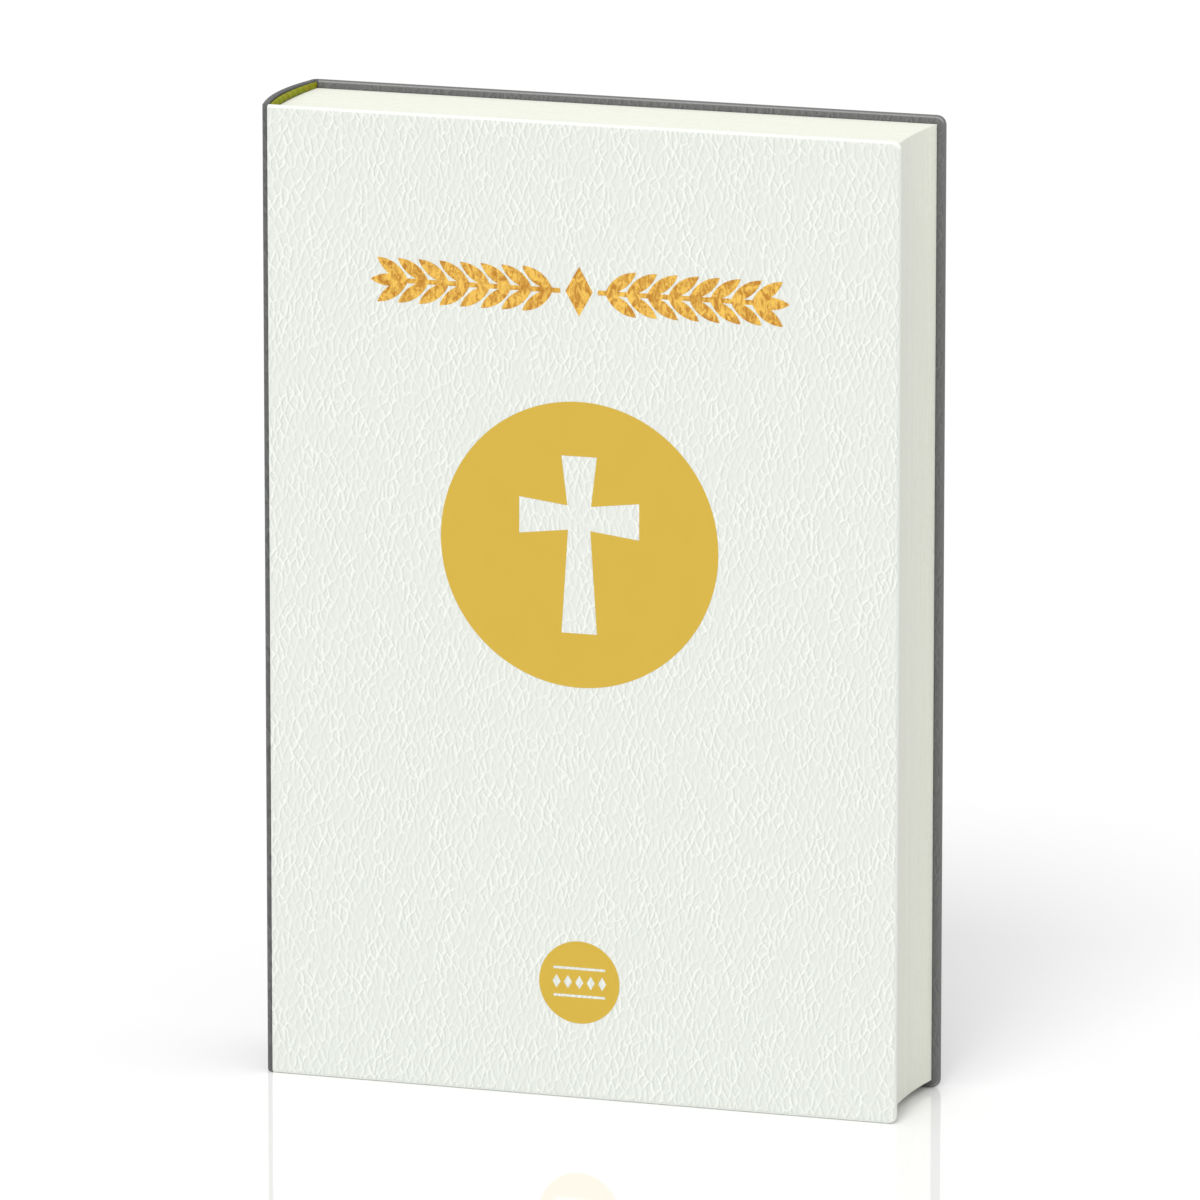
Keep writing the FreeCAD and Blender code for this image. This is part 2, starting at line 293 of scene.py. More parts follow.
def rest_place(tree):
    return mesh_attribute(tree, "rest_place").outputs["Vector"]


# ---------------------------------------------------------------- leather grain, for mesh and shader alike
GRAIN_SIZE = 1.72 * MM      # across one diamond of the net
GRAIN_SQUEEZE = 0.42        # width over height of a diamond, which stands upright
GRAIN_DRIFT = 6 * MM        # how far the upright rows wander sideways, over some tens of millimetres
PAINTED_RELIEF_OFFSET = 0.19 * MM     # painted light and painted shade: a crease is painted pale on its left and dark on its right, this far from its middle
LINE_SHARE = 0.3            # how much paler a crease's own line is
GRAIN_WARP = 2.9 * MM       # how far single lines wander
WIDE_CREASE = 0.20          # half a crease's width, as a share of its diamond
FINE_CREASE = 0.14
FINE_SHARE = 0.45           # depth of the finer creases beside the wide ones
FINE_GRAIN = 2.3            # lines of the finer net to one of the wide net
PRESS_DEPTH = 0.035 * MM    # how deep the grain is pressed into the front cover's mesh


def grain_heights(tree, place):
    """Upright, uneven diamonds of leather: the wide net, a finer net and a soft swell."""
    x, y, z = separate(tree, place)
    drift = noise_node(tree, place, 30, detail=0.0).outputs["Fac"]
    across = math_node(tree, "ADD", x, y)
    across = math_node(tree, "MULTIPLY_ADD", drift, GRAIN_DRIFT, across)
    along = math_node(tree, "MULTIPLY", math_node(tree, "SUBTRACT", z, y), GRAIN_SQUEEZE)
    rising = math_node(tree, "ADD", across, along)
    falling = math_node(tree, "SUBTRACT", across, along)
    flat = combine(tree, x=rising, y=falling)
    warp = noise_node(tree, flat, 300, detail=4.0, roughness=0.6)
    shift = vector_math(tree, "SUBTRACT", warp.outputs["Color"], (0.5, 0.5, 0.5))
    shift = vector_math(tree, "MULTIPLY", shift, (GRAIN_WARP, GRAIN_WARP, 0))
    warped = vector_math(tree, "ADD", flat, shift)
    wide = voronoi_edge(tree, warped, 1 / GRAIN_SIZE, 0.68)
    fine = voronoi_edge(tree, vector_math(tree, "ADD", warped, (0.37, 0.11, 0)), FINE_GRAIN / GRAIN_SIZE, 0.9)
    swell = noise_node(tree, flat, 230, detail=1.0).outputs["Fac"]
    return wide, fine, swell


# ---------------------------------------------------------------- materials
LEATHER_ROUGHNESS = 0.5
RIM_ROUGHNESS = 0.38
RIM_SLACK = 0.85            # this share of the grain is stretched out at a rim
RIM_HIGHLIGHT_BELOW = 1.6 * MM     # a painted highlight lies on the rims from here
RIM_HIGHLIGHT_ABOVE = 0.9 * MM     # and fully from here to the head and tail


def grain_creases(tree, place):
    """1 along a crease and 0 on the pebbles between; the finer net shows only in patches."""
    wide, fine, swell = grain_heights(tree, place)
    wide_crease = smooth_step(tree, wide, 0.0, WIDE_CREASE, 1.0, 0.0)
    fine_crease = smooth_step(tree, fine, 0.0, FINE_CREASE, 1.0, 0.0)
    gate = smooth_step(tree, swell, 0.42, 0.60)
    patches = math_node(tree, "MULTIPLY", math_node(tree, "MULTIPLY", fine_crease, gate), FINE_SHARE)
    return math_node(tree, "MAXIMUM", wide_crease, patches), swell


def leather(name, base, crease_and_painted_light, rim_highlight, rim_highlight_at_crest, depth, painted_relief, gloss):
    """Grained leather, its creases painted pale on one side and dark on the other as painted light and
    painted shade of a relief. Rims are smoother, and near head and tail they carry a painted highlight.
    """
    material, tree, shader = new_material(name)
    place = object_place(tree)
    aside = (PAINTED_RELIEF_OFFSET, 0, 0)
    creases, swell = grain_creases(tree, place)
    left, _ = grain_creases(tree, vector_math(tree, "SUBTRACT", place, aside))
    right, _ = grain_creases(tree, vector_math(tree, "ADD", place, aside))
    rim = mesh_attribute(tree, "rim").outputs["Fac"]
    stretched = smooth_step(tree, rim, 0.25, 0.75)
    slack = math_node(tree, "SUBTRACT", 1.0, math_node(tree, "MULTIPLY", stretched, RIM_SLACK))
    line = math_node(tree, "MULTIPLY", creases, LINE_SHARE)
    # painted light and painted shade: each crease is painted paler on its left and darker on its right, over
    # its own pale line
    line_and_painted_relief = math_node(tree, "MULTIPLY_ADD", math_node(tree, "SUBTRACT", right, left), painted_relief, line)
    strength = math_node(tree, "MULTIPLY", slack, smooth_step(tree, swell, 0.32, 0.68, 0.2, 0.62))
    share = math_node(tree, "MULTIPLY_ADD", line_and_painted_relief, strength, 0.5)
    # painted shade: this colour lies as far below the base as the crease colour lies above it
    shaded = tuple(2 * middle - light for middle, light in zip(base, crease_and_painted_light))
    grained = mix_colours(tree, share, shaded, crease_and_painted_light)
    # painted highlight: a pale band on the rounding of the rims near head and tail; at the crest it keeps the
    # given share
    painted_rim_highlight = math_node(tree, "MULTIPLY", smooth_step(tree, rim, 0.28, 0.48),
                       smooth_step(tree, rim, 0.60, 0.80, 1.0, rim_highlight_at_crest))
    height_up = separate(tree, place)[2]
    from_middle = math_node(tree, "ABSOLUTE", math_node(tree, "SUBTRACT", height_up, middle_z))
    to_end = high.z - middle_z
    at_ends = smooth_step(tree, from_middle, to_end - RIM_HIGHLIGHT_BELOW, to_end - RIM_HIGHLIGHT_ABOVE)
    painted_rim_highlight = math_node(tree, "MULTIPLY", painted_rim_highlight, at_ends)
    link(tree, mix_colours(tree, painted_rim_highlight, grained, rim_highlight), shader.inputs["Base Color"])
    smoother = RIM_ROUGHNESS - LEATHER_ROUGHNESS
    polish = math_node(tree, "MULTIPLY_ADD", stretched, smoother, LEATHER_ROUGHNESS)
    link(tree, math_node(tree, "MULTIPLY_ADD", creases, 0.08, polish), shader.inputs["Roughness"])
    pores = noise_node(tree, place, 5200, detail=1.0).outputs["Fac"]
    height = math_node(tree, "MULTIPLY_ADD", swell, 0.8, creases)
    height = math_node(tree, "MULTIPLY_ADD", pores, 0.12, height)
    bump(tree, shader, math_node(tree, "MULTIPLY", height, slack), depth)
    shader.inputs["Specular IOR Level"].default_value = gloss
    return material


FORE_EDGE_SHADE_DEPTH = 0.6 * MM     # depth of the fore-edge's painted shade
FORE_EDGE_PAINTED_SHADE = 0.90         # painted shade: the fore-edge is painted this much darker beside the front cover, fading towards the back


def fore_edge_at(y):
    """The hollow fore-edge at thickness y, through the first and the middle section's edges."""
    outer_x = first_box[1].x
    middle_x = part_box(sections[len(sections) // 2])[1].x
    half = middle_y - first_box[0].y
    return outer_x - (outer_x - middle_x) * (1 - ((y - middle_y) / half) ** 2)


def page_paper(name, colour, edge_colour):
    """Cream paper whose cut edges show the leaves as fine lines."""
    material, tree, shader = new_material(name)
    place = rest_place(tree)
    lines = vector_math(tree, "MULTIPLY", place, (60, 14000, 60))
    leaves = noise_node(tree, lines, 1.0).outputs["Fac"]
    fibres = noise_node(tree, place, 900, detail=3.0).outputs["Fac"]
    mixed = math_node(tree, "MULTIPLY_ADD", leaves, 0.7, math_node(tree, "MULTIPLY", fibres, 0.3))
    share = smooth_step(tree, mixed, 0.35, 0.65)
    x, y, _ = separate(tree, place)
    # painted shade on the fore-edge, strongest beside the front cover
    at_fore_edge = smooth_step(tree, x, fore_edge_at(middle_y) - FORE_EDGE_SHADE_DEPTH, fore_edge_at(middle_y))
    towards_front = smooth_step(tree, y, last_box[1].y, first_box[0].y)
    tone = math_node(tree, "MULTIPLY", at_fore_edge, towards_front)
    paper = mix_colours(tree, share, edge_colour, colour)
    shaded_paper = tuple(c * FORE_EDGE_PAINTED_SHADE for c in colour)
    link(tree, mix_colours(tree, tone, paper, shaded_paper), shader.inputs["Base Color"])
    shader.inputs["Roughness"].default_value = 0.8
    shader.inputs["Specular IOR Level"].default_value = 0.25
    bump(tree, shader, mixed, 0.00003)
    return material


def threads(tree, coordinate, pitch):
    """Rounded ridges, one to each pitch."""
    turn = math_node(tree, "MULTIPLY", coordinate, pi / pitch)
    return math_node(tree, "ABSOLUTE", math_node(tree, "SINE", turn))


def plain_weave(name, colour, gap_colour, pitch):
    """Open plain-weave cloth: two crossing sets of threads."""
    material, tree, shader = new_material(name)
    x, _, z = separate(tree, object_place(tree))
    height = math_node(tree, "MAXIMUM", threads(tree, x, pitch), threads(tree, z, pitch))
    share = smooth_step(tree, height, 0.2, 0.9)
    link(tree, mix_colours(tree, share, gap_colour, colour), shader.inputs["Base Color"])
    shader.inputs["Roughness"].default_value = 0.9
    bump(tree, shader, height, 0.00008)
    return material


def fibre_card(name, colour, fleck):
    material, tree, shader = new_material(name)
    flecks = noise_node(tree, object_place(tree), 700, detail=4.0, roughness=0.7).outputs["Fac"]
    share = smooth_step(tree, flecks, 0.45, 0.7)
    link(tree, mix_colours(tree, share, colour, fleck), shader.inputs["Base Color"])
    shader.inputs["Roughness"].default_value = 0.9
    bump(tree, shader, flecks, 0.00006)
    return material


def flat_gold(name):
    material, tree, shader = new_material(name)
    place = object_place(tree)
    mottle = noise_node(tree, place, 160, detail=4.0).outputs["Fac"]
    share = smooth_step(tree, mottle, 0.3, 0.7)
    gold = mix_colours(tree, share, (0.585, 0.390, 0.045), (0.595, 0.397, 0.048))
    link(tree, gold, shader.inputs["Base Color"])
    shader.inputs["Metallic"].default_value = 0.0
    link(tree, smooth_step(tree, mottle, 0.3, 0.7, 0.5, 0.6), shader.inputs["Roughness"])
    shader.inputs["Specular IOR Level"].default_value = 0.3
    bump(tree, shader, noise_node(tree, place, 3000).outputs["Fac"], 0.00001)
    return material


def crinkled_gold(name):
    material, tree, shader = new_material(name)
    place = object_place(tree)
    stretched = vector_math(tree, "MULTIPLY", place, (1.0, 1.0, 0.55))
    crinkle = noise_node(tree, stretched, 900, detail=3.0, roughness=0.65, distortion=1.2).outputs["Fac"]
    share = smooth_step(tree, crinkle, 0.36, 0.64)
    gold = mix_colours(tree, share, (0.50, 0.212, 0.016), (0.86, 0.535, 0.095))
    link(tree, gold, shader.inputs["Base Color"])
    shader.inputs["Metallic"].default_value = 0.35
    link(tree, smooth_step(tree, crinkle, 0.3, 0.7, 0.5, 0.3), shader.inputs["Roughness"])
    bump(tree, shader, crinkle, 0.00012)
    return material


SILK_PITCH = 0.22 * MM


def silk_band(name):
    """Silk wound round a core: fine ridges across the band, olive with warmer turns."""
    material, tree, shader = new_material(name)
    place = object_place(tree)
    ridges = threads(tree, separate(tree, place)[1], SILK_PITCH)
    patches = noise_node(tree, place, 260).outputs["Fac"]
    warmer = smooth_step(tree, patches, 0.5, 0.68)
    ground = mix_colours(tree, warmer, (0.285, 0.318, 0.003), (0.35, 0.27, 0.008))
    # painted shade: the grooves between turns are painted dark olive
    share = smooth_step(tree, ridges, 0.1, 0.7)
    link(tree, mix_colours(tree, share, (0.19, 0.21, 0.001), ground), shader.inputs["Base Color"])
    shader.inputs["Roughness"].default_value = 0.6
    shader.inputs["Specular IOR Level"].default_value = 0.2
    bump(tree, shader, ridges, 0.00005)
    return material


def floor_material():
    material, tree, shader = new_material("studio_floor")
    place = object_place(tree)
    tone = noise_node(tree, place, 1.5, detail=1.0).outputs["Fac"]
    pale = mix_colours(tree, tone, (0.96, 0.96, 0.96), (0.98, 0.98, 0.98))
    link(tree, pale, shader.inputs["Base Color"])
    shader.inputs["Roughness"].default_value = 0.03
    shader.inputs["IOR"].default_value = 1.6
    return material


# each leather's crease colour is both the pale line of its creases and the painted light of its relief; the
# matching dark is painted shade
MATERIALS = {
    # each leather's rim colour is a painted highlight on its rims near head and tail
    "white_leather": leather("white_leather", base=(0.684, 0.711, 0.662), crease_and_painted_light=(0.82, 0.842, 0.79),
                             rim_highlight=(0.81, 0.832, 0.78), rim_highlight_at_crest=1.0, depth=0.04 * MM,
                             painted_relief=0.80, gloss=0.5),
    "grey_leather": leather("grey_leather", base=(0.124, 0.125, 0.124), crease_and_painted_light=(0.172, 0.173, 0.171),
                            rim_highlight=(0.27, 0.27, 0.265), rim_highlight_at_crest=0.0, depth=0.07 * MM,
                            painted_relief=0.8, gloss=0.7),
    # painted shade: a darker copy of the back's grey leather for the spine, which is the same leather
    "spine_leather": leather("spine_leather", base=(0.088, 0.089, 0.088), crease_and_painted_light=(0.126, 0.127, 0.125),
                             rim_highlight=(0.27, 0.27, 0.265), rim_highlight_at_crest=0.0, depth=0.06 * MM,
                             painted_relief=0.8, gloss=0.55),
    "page_paper": page_paper("page_paper", (0.825, 0.835, 0.755), (0.775, 0.785, 0.70)),
    "endpaper": page_paper("endpaper", (0.93, 0.94, 0.86), (0.90, 0.91, 0.83)),
    "board_card": fibre_card("board_card", (0.36, 0.33, 0.28), (0.50, 0.46, 0.38)),
    "mull_cloth": plain_weave("mull_cloth", (0.80, 0.77, 0.66), (0.38, 0.35, 0.28), 0.0006),
    "kraft_paper": fibre_card("kraft_paper", (0.42, 0.28, 0.15), (0.55, 0.40, 0.24)),
    "linen_thread": plain_weave("linen_thread", (0.85, 0.82, 0.70), (0.60, 0.56, 0.45), 0.0002),
    "headband_silk": silk_band("headband_silk"),
    "flat_gold_foil": flat_gold("flat_gold_foil"),
    "bright_gold_foil": crinkled_gold("bright_gold_foil"),
}


def dress(piece, slot_name):
    piece.data.materials.clear()
    piece.data.materials.append(MATERIALS[slot_name])


# ---------------------------------------------------------------- covers
RIM = 0.69 * MM             # rounding of the head, tail and fore-edge
SPINE_RIM = 0.22 * MM       # tighter rounding beside the spine
CORNER = 1.75 * MM          # fore-edge corners
RIM_STEPS = 6
TURN_IN = 13 * MM
FRONT_STEP = 0.56 * MM      # grid of the front cover, fine enough for its pressed grain
BACK_STEP = 0.80 * MM


def edge_spaced(start, end, start_rim, end_rim, step):
    """Places from start to end, set close together within a rim of either end."""
    turn = np.linspace(0, pi / 2, RIM_STEPS + 1)
    count = max(1, round((end - start - start_rim - end_rim) / step))
    return np.concatenate([
        start + start_rim * (1 - np.cos(turn))[:-1],
        np.linspace(start + start_rim, end - end_rim, count + 1),
        (end - end_rim * (1 - np.cos(turn)))[::-1][1:],
    ])


def rounded_cover_place(x, z, box_low, box_high):
    """Moves grid places onto the rounded outline. Returns x, z and how far round the rim each is."""
    fore = x > (box_low.x + box_high.x) / 2
    corner_x = np.where(fore, CORNER, SPINE_RIM)
    corner_z = np.where(fore, CORNER, RIM)
    from_side = np.where(fore, box_high.x - x, x - box_low.x)
    top = z > (box_low.z + box_high.z) / 2
    from_end = np.where(top, box_high.z - z, z - box_low.z)
    a = np.clip(1 - from_side / corner_x, 0, 1)
    b = np.clip(1 - from_end / corner_z, 0, 1)
    round_a = a * np.sqrt(1 - b * b / 2)
    round_b = b * np.sqrt(1 - a * a / 2)
    moved_x = np.where(a > 0, np.where(fore, box_high.x - corner_x * (1 - round_a),
                                       box_low.x + corner_x * (1 - round_a)), x)
    moved_z = np.where(b > 0, np.where(top, box_high.z - corner_z * (1 - round_b),
                                       box_low.z + corner_z * (1 - round_b)), z)
    reach = np.sqrt(round_a ** 2 + round_b ** 2)
    flat_share = np.where(fore, 1 - RIM / CORNER, 0.0)
    round_rim = np.clip((reach - flat_share) / (1 - flat_share), 0, 1)
    return moved_x, moved_z, round_rim


def cover_mesh(name, box_low, box_high, outer_y, inner_y, step):
    """A closed cover panel: a fine grid outside, rounded rims, and a plain inside under the pastedown."""
    columns = edge_spaced(box_low.x, box_high.x, SPINE_RIM, RIM, step)
    rows = edge_spaced(box_low.z, box_high.z, RIM, RIM, step)
    half = (inner_y - outer_y) / 2
    grid_x, grid_z = np.meshgrid(columns, rows)
    x, z, rim = rounded_cover_place(grid_x.ravel(), grid_z.ravel(), box_low, box_high)
    y = outer_y + half * (1 - np.sqrt(1 - rim ** 2))
    points = list(np.stack([x, y, z], axis=1))
    rims = list(rim)
    wide, tall = len(columns), len(rows)
    faces = []
    for row in range(tall - 1):
        for column in range(wide - 1):
            corner = row * wide + column
            faces.append((corner, corner + 1, corner + wide + 1, corner + wide))
    border = list(range(wide))
    border += [row * wide + wide - 1 for row in range(1, tall)]
    border += [(tall - 1) * wide + column for column in range(wide - 2, -1, -1)]
    border += [row * wide for row in range(tall - 2, 0, -1)]
    border_x, border_z = grid_x.ravel()[border], grid_z.ravel()[border]
    turn = np.linspace(0, pi / 2, RIM_STEPS + 1)[1:]
    insets = list(zip(SPINE_RIM * (1 - np.cos(turn)), RIM * (1 - np.cos(turn))))
    insets += [(depth, depth) for depth in (CORNER, 4 * MM, TURN_IN)]
    previous = border
    for side_inset, inset in insets:
        ring_x = np.clip(border_x, box_low.x + side_inset, box_high.x - inset)
        ring_z = np.clip(border_z, box_low.z + inset, box_high.z - inset)
        x, z, rim = rounded_cover_place(ring_x, ring_z, box_low, box_high)
        y = inner_y - half * (1 - np.sqrt(1 - rim ** 2))
        start = len(points)
        points += list(np.stack([x, y, z], axis=1))
        rims += list(rim)
        ring = list(range(start, start + len(border)))
        for place in range(len(ring)):
            after = (place + 1) % len(ring)
            faces.append((previous[place], ring[place], ring[after], previous[after]))
        previous = ring
    faces.append(tuple(previous))
    piece = mesh_piece(name, points, faces)
    attribute = piece.data.attributes.new("rim", "FLOAT", "POINT")
    attribute.data.foreach_set("value", np.array(rims, np.float32))
    join_near_points(piece)
    return piece


def press_grain(piece):
    """Presses the leather pattern of the shader into the front cover's mesh, inwards along +Y."""
    tree = bpy.data.node_groups.new(piece.name + "_grain", "GeometryNodeTree")
    tree.interface.new_socket("Geometry", in_out="INPUT", socket_type="NodeSocketGeometry")
    tree.interface.new_socket("Geometry", in_out="OUTPUT", socket_type="NodeSocketGeometry")
    source = tree.nodes.new("NodeGroupInput")
    result = tree.nodes.new("NodeGroupOutput")
    place = tree.nodes.new("GeometryNodeInputPosition").outputs[0]
    wide, _, swell = grain_heights(tree, place)
    pillow = smooth_step(tree, wide, 0.0, 0.30, 0.55, 0.0)
    height = math_node(tree, "MULTIPLY_ADD", swell, 0.45, pillow)
    below_crest = math_node(tree, "SUBTRACT", height, 1.0)
    offset = combine(tree, y=math_node(tree, "MULTIPLY", below_crest, -PRESS_DEPTH))
    mover = tree.nodes.new("GeometryNodeSetPosition")
    link(tree, source.outputs[0], mover.inputs["Geometry"])
    link(tree, offset, mover.inputs["Offset"])
    link(tree, mover.outputs[0], result.inputs[0])
    modifier = piece.modifiers.new("grain", "NODES")
    modifier.node_group = tree
    apply_modifiers(piece)


def apply_modifiers(piece):
    graph = bpy.context.evaluated_depsgraph_get()
    mesh = bpy.data.meshes.new_from_object(piece.evaluated_get(graph))
    piece.modifiers.clear()
    piece.data = mesh


def make_covers():
    front = cover_mesh("front_cover", *front_box, front_box[0].y, front_box[1].y, FRONT_STEP)
    dress(front, "white_leather")
    back = cover_mesh("back_cover", *back_box, back_box[1].y, back_box[0].y, BACK_STEP)
    dress(back, "grey_leather")
    for piece, side, slot_name in ((front, "front", "white_leather"), (back, "back", "grey_leather")):
        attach(piece, side + "_cover")
        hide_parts(side + "_cover_covering")
    press_grain(front)


# ---------------------------------------------------------------- spine
SPINE_SHELL = 0.80 * MM
SPINE_CAP = 0.38 * MM
TURNED_SHELL = 0.36 * MM    # the shell is this much thicker where its covering is turned in at head and tail
TURNED_HEIGHT = 1.9 * MM
TURNED_FADE = 0.3 * MM
SPINE_POINTS = 72
LIP_GAP = 0.05 * MM         # between the spine's lips and the covers
SHOULDER = (-1.15 * MM, 1.9 * MM)   # the arch ends this far from the inner edge and front of the spine
KNEE = (-0.95 * MM, 0.25 * MM)      # pulls the curve between lip and shoulder outwards
KNEE_POINTS = 8
ROUND_STEPS = 6
PLAIN_LEVELS = 38
PLAIN_FROM_LIP = 0.7 * MM   # the turned-in thickness starts this far from a lip
FULL_FROM_LIP = 1.8 * MM    # and is complete here


def spine_outline():
    """Points and inward directions along the spine's outline, from the front lip to the back lip."""
    lip_x, lip_y = front_box[0].x - LIP_GAP, spine_box[0].y
    shoulder = Vector((spine_box[1].x + SHOULDER[0], lip_y + SHOULDER[1]))
    bulge_x = spine_box[0].x
    half = middle_y - shoulder.y
    sag = shoulder.x - bulge_x
    radius = (half * half + sag * sag) / (2 * sag)
    centre_x = bulge_x + radius
    reach = np.arcsin(half / radius)
    angles = np.linspace(-reach, reach, SPINE_POINTS - 2 * KNEE_POINTS)
    arc = [(centre_x - radius * cos(t), middle_y + radius * sin(t)) for t in angles]
    turn = np.linspace(0, 1, KNEE_POINTS + 1)[:-1]
    knee = Vector((spine_box[1].x + KNEE[0], lip_y + KNEE[1]))
    front = []
    for t in turn:
        x = (1 - t) ** 2 * lip_x + 2 * t * (1 - t) * knee.x + t * t * shoulder.x
        y = (1 - t) ** 2 * lip_y + 2 * t * (1 - t) * knee.y + t * t * shoulder.y
        front.append((x, y))
    back = [(x, 2 * middle_y - y) for x, y in reversed(front)]
    points = np.array(front + arc + back)
    along = np.gradient(points, axis=0)
    along /= np.linalg.norm(along, axis=1)[:, None]
    inward = np.stack([along[:, 1], -along[:, 0]], axis=1)
    return points, inward


def turned_shell(points):
    """Extra thickness at head and tail for each point of the outline; none beside the lips."""
    from_lip = np.minimum(points[:, 1] - points[0, 1], points[-1, 1] - points[:, 1])
    share = np.clip((from_lip - PLAIN_FROM_LIP) / (FULL_FROM_LIP - PLAIN_FROM_LIP), 0, 1)
    return TURNED_SHELL * share * share * (3 - 2 * share)


def make_spine():
    """A curved shell, thicker at head and tail, where its ends are rounded over."""
    points, inward = spine_outline()
    extra = turned_shell(points)
    bottom, top = spine_box[0].z, spine_box[1].z
    turn = np.linspace(0, pi, 2 * ROUND_STEPS + 1)
    faded = TURNED_HEIGHT + TURNED_FADE
    levels = list(np.linspace(bottom + faded, top - faded, PLAIN_LEVELS))
    levels = [bottom + TURNED_HEIGHT] + levels + [top - TURNED_HEIGHT]
    loop = [(0.0, bottom + SPINE_CAP)]
    loop += [(0.0, z) for z in levels]
    loop += [((1 - cos(t)) / 2, top - SPINE_CAP + SPINE_CAP * sin(t)) for t in turn]
    loop += [(1.0, z) for z in reversed(levels)]
    loop += [((1 + cos(t)) / 2, bottom + SPINE_CAP - SPINE_CAP * sin(t)) for t in turn[:-1]]
    rings = []
    for point, direction, more in zip(points, inward, extra):
        for share, z in loop:
            turned_in = min(z - bottom, top - z) < TURNED_HEIGHT + TURNED_FADE / 2
            depth = share * (SPINE_SHELL + more * turned_in)
            rings.append((point[0] + direction[0] * depth, point[1] + direction[1] * depth, z))
    size = len(loop)
    faces = []
    for ring in range(len(points) - 1):
        for place in range(size):
            after = (place + 1) % size
            faces.append((ring * size + place, ring * size + after,
                          (ring + 1) * size + after, (ring + 1) * size + place))
    faces.append(tuple(range(size))[::-1])
    faces.append(tuple(range((len(points) - 1) * size, len(points) * size)))
    piece = mesh_piece("spine", rings, faces)
    join_near_points(piece)
    # dressed in the darker copy of the grey leather, its painted shade
    dress(piece, "spine_leather")
    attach(piece, "text_block")
    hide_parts("spine_covering")


# ---------------------------------------------------------------- pages
BUNDLES = 6                 # groups of leaves shown within each section
GUTTER = 14 * MM            # the paper bends within this much of its fold
GLUED = 1.5 * MM            # beside its fold every leaf is held fast by glue
GUTTER_COLUMNS = 15
FLAT_COLUMNS = 12
EDGE_SCATTER = 0.018 * MM   # how unevenly the bundles are trimmed
rng = np.random.default_rng(5)


def page_columns(start, end):
    """Places across a page: close together in the gutter, where it bends."""
    gutter = start + GUTTER * np.linspace(0, 1, GUTTER_COLUMNS) ** 1.3
    rest = np.linspace(start + GUTTER, end, FLAT_COLUMNS)[1:]
    return np.concatenate([gutter, rest])


def slab(points, faces, columns, front_y, back_y, bottom, top, rows=2):
    """Adds one closed flat slab. front_y and back_y are given at each column."""
    levels = np.linspace(bottom, top, rows)
    start = len(points)
    wide = len(columns)
    for y_line in (front_y, back_y):
        for level in levels:
            for column, y in zip(columns, y_line):
                points.append((column, y, level))
    sheet = wide * rows
    for row in range(rows - 1):
        for place in range(wide - 1):
            a = start + row * wide + place
            b = a + sheet
            faces.append((a, a + 1, a + wide + 1, a + wide))
            faces.append((b, b + wide, b + wide + 1, b + 1))
        left = start + row * wide
        faces.append((left, left + wide, left + wide + sheet, left + sheet))
        right = left + wide - 1
        faces.append((right, right + sheet, right + wide + sheet, right + wide))
    for place in range(wide - 1):
        a = start + place
        faces.append((a, a + sheet, a + sheet + 1, a + 1))
        c = start + (rows - 1) * wide + place
        faces.append((c, c + 1, c + 1 + sheet, c + sheet))


def section_span(index):
    """Front and back of a section as shown: neighbours meet, so the block looks solid when shut."""
    pitch = (last_box[1].y - first_box[0].y) / len(sections)
    front = first_box[0].y + index * pitch
    return front, front + pitch


def make_section(index):
    """A folded section as six bundles of leaves, which bend in the gutter when it turns."""
    name = sections[index]
    lower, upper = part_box(name)
    front, back = section_span(index)
    centre, radius = (front + back) / 2, (back - front) / 2
    edges = np.linspace(front, back, BUNDLES + 1)
    points, faces = [], []
    for bundle in range(BUNDLES):
        y0, y1 = edges[bundle], edges[bundle + 1]
        y_mid = (y0 + y1) / 2
        fold = lower.x + radius - (radius ** 2 - (y_mid - centre) ** 2) ** 0.5
        trim = rng.uniform(-EDGE_SCATTER, EDGE_SCATTER, 3)
        columns = page_columns(fold, fore_edge_at(y_mid) + trim[0])
        slab(points, faces, columns, np.full(len(columns), y0), np.full(len(columns), y1),
             lower.z + trim[1], upper.z + trim[2])
    piece = mesh_piece(name + "_leaves", points, faces)
    keep_sharp_edges(piece)
    keep_rest_place(piece)
    dress(piece, "page_paper")
    body = body_of_node[name]
    if body == "text_block":
        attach(piece, body)
    else:
        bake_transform(piece)
    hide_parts(name)


ENDPAPER_FOLD = 0.35 * MM   # from the first section's fold to the endpapers' fold
ENDPAPER_JOINT = 3.5 * MM   # the glued half bends within this much of its fold
TIPPED_GAP = 0.005 * MM     # between a flyleaf's glued strip and the section it is tipped to


def make_endpapers():
    """Each endpaper is one folded sheet: a half glued to the cover and a free half."""
    for side in ("front", "back"):
        for half, held, bend in (("pastedown", 0.0, ENDPAPER_JOINT), ("flyleaf", GLUED, GUTTER)):
            node = side + "_" + half
            lower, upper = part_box(node)
            start_x = first_box[0].x + ENDPAPER_FOLD
            columns = page_columns(start_x, upper.x)
            glued = columns < start_x + held
            front_y = np.full(len(columns), lower.y)
            back_y = np.full(len(columns), upper.y)
            if side == "front":
                back_y[glued] = first_box[0].y - TIPPED_GAP
            else:
                front_y[glued] = last_box[1].y + TIPPED_GAP
            points, faces = [], []
            slab(points, faces, columns, front_y, back_y, lower.z, upper.z, rows=3)
            piece = mesh_piece(node + "_sheet", points, faces)
            keep_sharp_edges(piece)
            keep_rest_place(piece)
            dress(piece, "endpaper")
            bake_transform(piece)
            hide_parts(node)


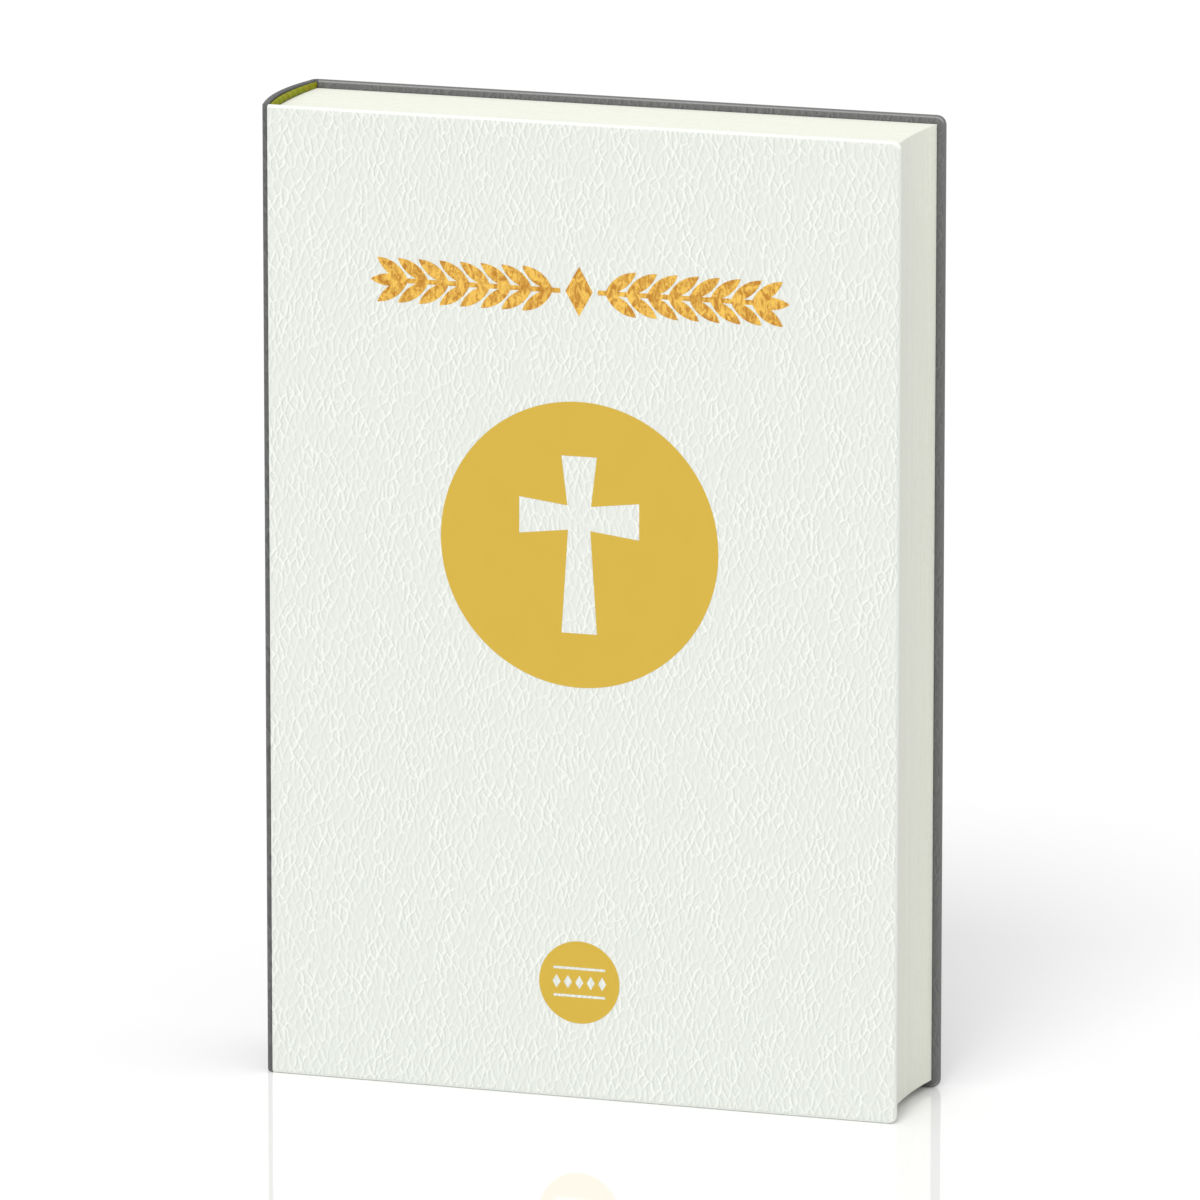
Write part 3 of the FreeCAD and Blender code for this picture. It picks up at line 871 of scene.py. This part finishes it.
# ---------------------------------------------------------------- headbands
BAND_HALF_HEIGHT = 0.62 * MM
BAND_END_GAP = 0.25 * MM    # between the band's ends and the spine's lips
BAND_CLEARANCE = 0.03 * MM
BAND_OVERHANG = 0.34 * MM   # the bead leans over the pages' head edge by this much
BAND_RIDGE = 0.24 * MM
BAND_RIDGE_DEPTH = 0.03 * MM
BAND_SIDES = 14
BAND_STEPS = 6              # steps along the band to each ridge
BAND_BELOW_TOP = 0.33 * MM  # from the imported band's outer end to the bead's middle
BAND_TAPER = 0.5 * MM
BAND_END_SHARE = 0.35       # thickness left at the bead's very ends


def inner_spine_x(y):
    """The inside of the spine's shell at thickness y."""
    points, inward = spine_outline()
    inner = points + inward * (SPINE_SHELL + turned_shell(points))[:, None]
    return float(np.interp(y, inner[:, 1], inner[:, 0]))


def make_bands():
    """Ribbed silk beads at head and tail, in the room between the spine's shell and the pages."""
    for node, away in (("headband", 1), ("tailband", -1)):
        lower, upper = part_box(node)
        bead_z = (upper.z if away > 0 else lower.z) - away * BAND_BELOW_TOP
        half_span = middle_y - spine_box[0].y - SPINE_SHELL - BAND_END_GAP
        fold_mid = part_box(sections[len(sections) // 2])[0].x
        fold_end = first_box[0].x
        block_half = middle_y - first_box[0].y
        steps = int(2 * half_span / (BAND_RIDGE / BAND_STEPS))
        points, faces = [], []
        for step in range(steps + 1):
            y = middle_y - half_span + 2 * half_span * step / steps
            block_x = fold_mid + (fold_end - fold_mid) * ((y - middle_y) / block_half) ** 2
            room_start = inner_spine_x(y) + BAND_CLEARANCE
            room_end = block_x + BAND_OVERHANG
            line_x = (room_start + room_end) / 2
            half_width = (room_end - room_start) / 2 - BAND_RIDGE_DEPTH
            ridge = BAND_RIDGE_DEPTH * abs(sin(pi * y / BAND_RIDGE))
            taper = min(1.0, (half_span - abs(y - middle_y)) / BAND_TAPER + BAND_END_SHARE)
            for side in range(BAND_SIDES):
                turn = 2 * pi * side / BAND_SIDES
                points.append((line_x + cos(turn) * (half_width + ridge) * taper, y,
                               bead_z + sin(turn) * (BAND_HALF_HEIGHT + ridge) * taper))
        for step in range(steps):
            for side in range(BAND_SIDES):
                after = (side + 1) % BAND_SIDES
                faces.append((step * BAND_SIDES + side, step * BAND_SIDES + after,
                              (step + 1) * BAND_SIDES + after, (step + 1) * BAND_SIDES + side))
        faces.append(tuple(range(BAND_SIDES)))
        faces.append(tuple(range(steps * BAND_SIDES, (steps + 1) * BAND_SIDES))[::-1])
        piece = mesh_piece(node + "_silk", points, faces)
        join_near_points(piece)
        dress(piece, "headband_silk")
        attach(piece, "text_block")
        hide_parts(node)


# ---------------------------------------------------------------- stamped foil
FOIL_PROUD = 0.02 * MM


def make_foils():
    """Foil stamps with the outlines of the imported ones, lying on the covering's outer face."""
    for node in ("title_garland_foil", "emblem_foil", "imprint_foil"):
        mesh = frame["nodes"][node].data.copy()
        lift = front_box[0].y - FOIL_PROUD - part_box(node)[0].y
        mesh.transform(Matrix.Translation((0, lift, 0)))
        piece = bpy.data.objects.new(node.replace("_foil", "_stamp"), mesh)
        bpy.context.scene.collection.objects.link(piece)
        slot_name = "bright_gold_foil" if node.startswith("title") else "flat_gold_foil"
        dress(piece, slot_name)
        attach(piece, "front_cover")
        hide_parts(node)


# ---------------------------------------------------------------- pieces kept as packed
def dress_packed_nodes():
    for subpart in frame["record"]["subparts"]:
        dress(frame["nodes"][subpart["node"]], subpart["material_slot"])


# ---------------------------------------------------------------- floor
FLOOR_HALF = 6.0


def make_floor():
    corners = [(-1, -1), (1, -1), (1, 1), (-1, 1)]
    floor = mesh_piece("floor", [(x * FLOOR_HALF, y * FLOOR_HALF, low.z) for x, y in corners], [(0, 1, 2, 3)])
    floor.data.materials.append(floor_material())


bpy.context.scene.view_settings.view_transform = "Standard"
add_camera()
add_world()
add_key_light()
dress_packed_nodes()
make_covers()
make_spine()
for section_index in range(len(sections)):
    make_section(section_index)
make_endpapers()
make_bands()
make_foils()
make_floor()
